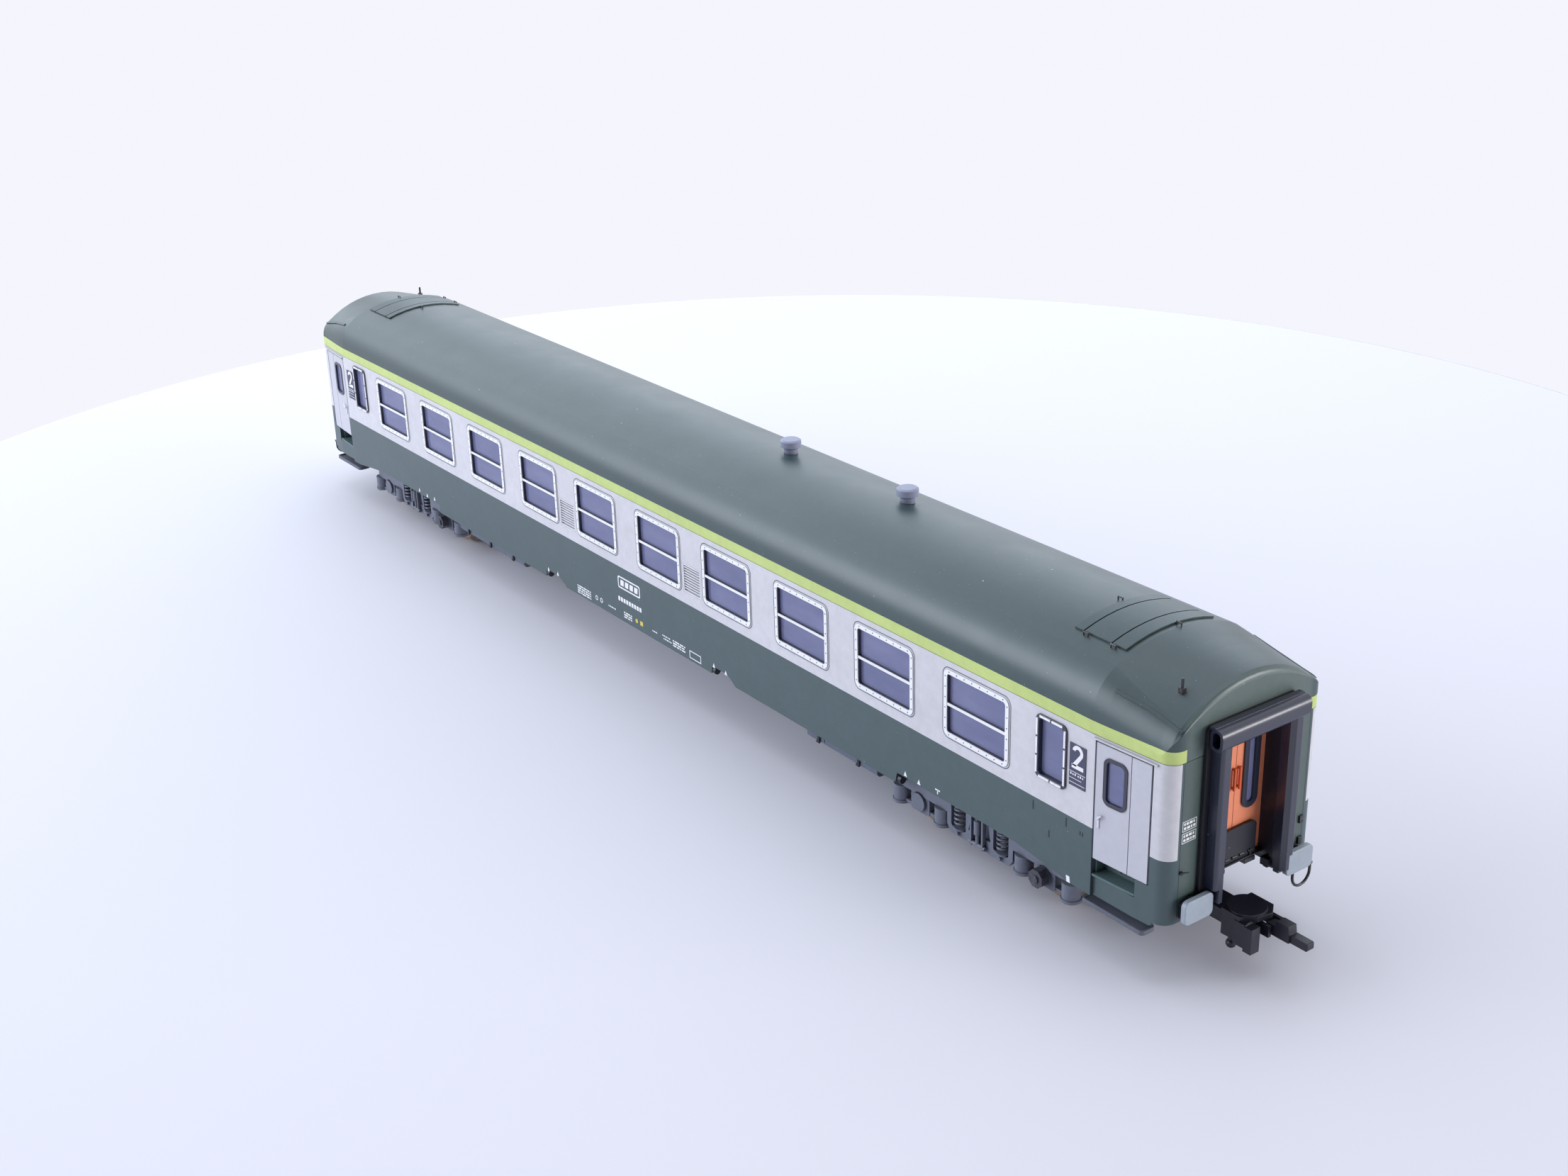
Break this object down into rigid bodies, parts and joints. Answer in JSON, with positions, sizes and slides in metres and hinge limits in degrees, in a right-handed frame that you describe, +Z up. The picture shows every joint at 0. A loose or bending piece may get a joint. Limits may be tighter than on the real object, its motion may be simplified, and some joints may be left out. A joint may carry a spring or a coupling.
{
  "type": "model passenger coach",
  "caption": "Model railway passenger coach with framed side windows, end gangways, swivelling two-axle bogies, rolling wheelsets and end couplings.",
  "frame": {"origin": "on the standing surface under the middle of the coach, level with the wheel flange tips", "axes": "+X along the coach towards the front end, +Y across to the left side, +Z up"},
  "size_m": [0.302, 0.0336, 0.05],
  "materials": {
    "body_paint": "satin two-tone paint, light grey-beige window band over dark green",
    "roof_paint": "satin dark green paint with a lime stripe along the lower edge",
    "green_plastic": "satin dark green",
    "beige_plastic": "satin light grey-beige",
    "door_paint": "satin grey-beige paint of the entrance doors",
    "white_paint": "satin white",
    "clear_glazing": "clear tinted moulding",
    "black_rubber": "dull black",
    "bright_metal": "bright printed strip",
    "dark_metal": "blackened wire",
    "black_plastic": "matt black",
    "orange_plastic": "satin orange",
    "red_plastic": "satin red",
    "underframe_grey": "matt blue-grey",
    "bogie_grey": "matt blue-grey",
    "vent_grey": "matt grey",
    "sign_paint": "dark printed panel",
    "steel_screw": "blackened",
    "steel_plate": "plain",
    "interior_plastic": "matt",
    "seat_plastic": "matt",
    "buffer_grey": "satin light grey",
    "coupler_plastic": "semi-matt black",
    "spring_steel": "painted coil",
    "generator_plastic": "matt near-black",
    "wheel_steel": "blackened disc with a bright brown tread"
  },
  "bodies": {
    "coach": {"ballast": "steel_plate", "body_shell": "body_paint", "brake_gear": "underframe_grey", "bridge_plates": "black_plastic", "buffer_housings": "black_plastic", "chassis": "underframe_grey", "class_panels": "sign_paint", "door_handles": "dark_metal", "door_seals": "black_rubber", "end_fittings": "dark_metal", "entrance_doors": "door_paint", "footboards": "underframe_grey", "gangway_bellows": "black_rubber", "gangway_doors": "orange_plastic", "gangway_frames": "black_plastic", "gangway_handles": "red_plastic", "gangway_seals": "black_rubber", "glazing": "clear_glazing", "grab_rings": "dark_metal", "interior_floor": "interior_plastic", "louvre_grilles": "beige_plastic", "partitions": "interior_plastic", "pivot_screws": "steel_screw", "rain_gutters": "green_plastic", "roof_fittings": "dark_metal", "roof_hatches": "green_plastic", "roof_shell": "roof_paint", "roof_vents": "vent_grey", "seats": "seat_plastic", "small_window_clips": "bright_metal", "small_window_seals": "black_rubber", "step_wells": "green_plastic", "underfloor_boxes": "underframe_grey", "underfloor_brackets": "black_plastic", "window_frames": "white_paint"},
    "bogie_front": {"bogie_frame_front": "bogie_grey", "axle_boxes_front": "bogie_grey", "bogie_springs_front": "spring_steel", "bogie_links_front": "bogie_grey", "generator_front": "generator_plastic"},
    "bogie_rear": {"bogie_frame_rear": "bogie_grey", "axle_boxes_rear": "bogie_grey", "bogie_springs_rear": "spring_steel", "bogie_links_rear": "bogie_grey", "generator_rear": "generator_plastic"},
    "wheelset_1_body": {"wheelset_1": "wheel_steel"},
    "wheelset_2_body": {"wheelset_2": "wheel_steel"},
    "wheelset_3_body": {"wheelset_3": "wheel_steel"},
    "wheelset_4_body": {"wheelset_4": "wheel_steel"},
    "coupler_front": {"coupler_drawbar_front": "coupler_plastic", "coupler_head_front": "coupler_plastic"},
    "coupler_rear": {"coupler_drawbar_rear": "coupler_plastic", "coupler_head_rear": "coupler_plastic"},
    "latch_front": {"coupler_latch_front": "coupler_plastic"},
    "latch_rear": {"coupler_latch_rear": "coupler_plastic"},
    "buffer_left_front_body": {"buffer_left_front": "buffer_grey"},
    "buffer_right_front_body": {"buffer_right_front": "buffer_grey"},
    "buffer_left_rear_body": {"buffer_left_rear": "buffer_grey"},
    "buffer_right_rear_body": {"buffer_right_rear": "buffer_grey"}
  },
  "joints": [
    {"name": "bogie_front_swivel", "type": "hinge", "parent": "coach", "child": "bogie_front", "pos_m": [0.0978, 0, 0.0095], "axis": [0, 0, 1], "range_deg": [-8, 8]},
    {"name": "bogie_rear_swivel", "type": "hinge", "parent": "coach", "child": "bogie_rear", "pos_m": [-0.0978, 0, 0.0095], "axis": [0, 0, 1], "range_deg": [-8, 8]},
    {"name": "wheelset_1_roll", "type": "hinge", "parent": "bogie_front", "child": "wheelset_1_body", "pos_m": [0.1125, 0, 0.0062], "axis": [0, 1, 0], "continuous": true},
    {"name": "wheelset_2_roll", "type": "hinge", "parent": "bogie_front", "child": "wheelset_2_body", "pos_m": [0.0831, 0, 0.0062], "axis": [0, 1, 0], "continuous": true},
    {"name": "wheelset_3_roll", "type": "hinge", "parent": "bogie_rear", "child": "wheelset_3_body", "pos_m": [-0.0831, 0, 0.0062], "axis": [0, 1, 0], "continuous": true},
    {"name": "wheelset_4_roll", "type": "hinge", "parent": "bogie_rear", "child": "wheelset_4_body", "pos_m": [-0.1125, 0, 0.0062], "axis": [0, 1, 0], "continuous": true},
    {"name": "coupler_front_swing", "type": "hinge", "parent": "coach", "child": "coupler_front", "pos_m": [0.127, 0, 0.007], "axis": [0, 0, 1], "range_deg": [-12, 12]},
    {"name": "latch_front_lift", "type": "hinge", "parent": "coupler_front", "child": "latch_front", "pos_m": [0.1442, 0.0013, 0.0072], "axis": [0, -1, 0], "range_deg": [0, 12]},
    {"name": "buffer_left_front_press", "type": "slide", "parent": "coach", "child": "buffer_left_front_body", "axis": [-1, 0, 0], "range_m": [0, 0.0005], "stiffness_N_per_m": 150},
    {"name": "buffer_right_front_press", "type": "slide", "parent": "coach", "child": "buffer_right_front_body", "axis": [-1, 0, 0], "range_m": [0, 0.0005], "stiffness_N_per_m": 150},
    {"name": "coupler_rear_swing", "type": "hinge", "parent": "coach", "child": "coupler_rear", "pos_m": [-0.127, 0, 0.007], "axis": [0, 0, 1], "range_deg": [-12, 12]},
    {"name": "latch_rear_lift", "type": "hinge", "parent": "coupler_rear", "child": "latch_rear", "pos_m": [-0.1442, -0.0013, 0.0072], "axis": [0, 1, 0], "range_deg": [0, 12]},
    {"name": "buffer_left_rear_press", "type": "slide", "parent": "coach", "child": "buffer_left_rear_body", "axis": [1, 0, 0], "range_m": [0, 0.0005], "stiffness_N_per_m": 150},
    {"name": "buffer_right_rear_press", "type": "slide", "parent": "coach", "child": "buffer_right_rear_body", "axis": [1, 0, 0], "range_m": [0, 0.0005], "stiffness_N_per_m": 150}
  ]
}
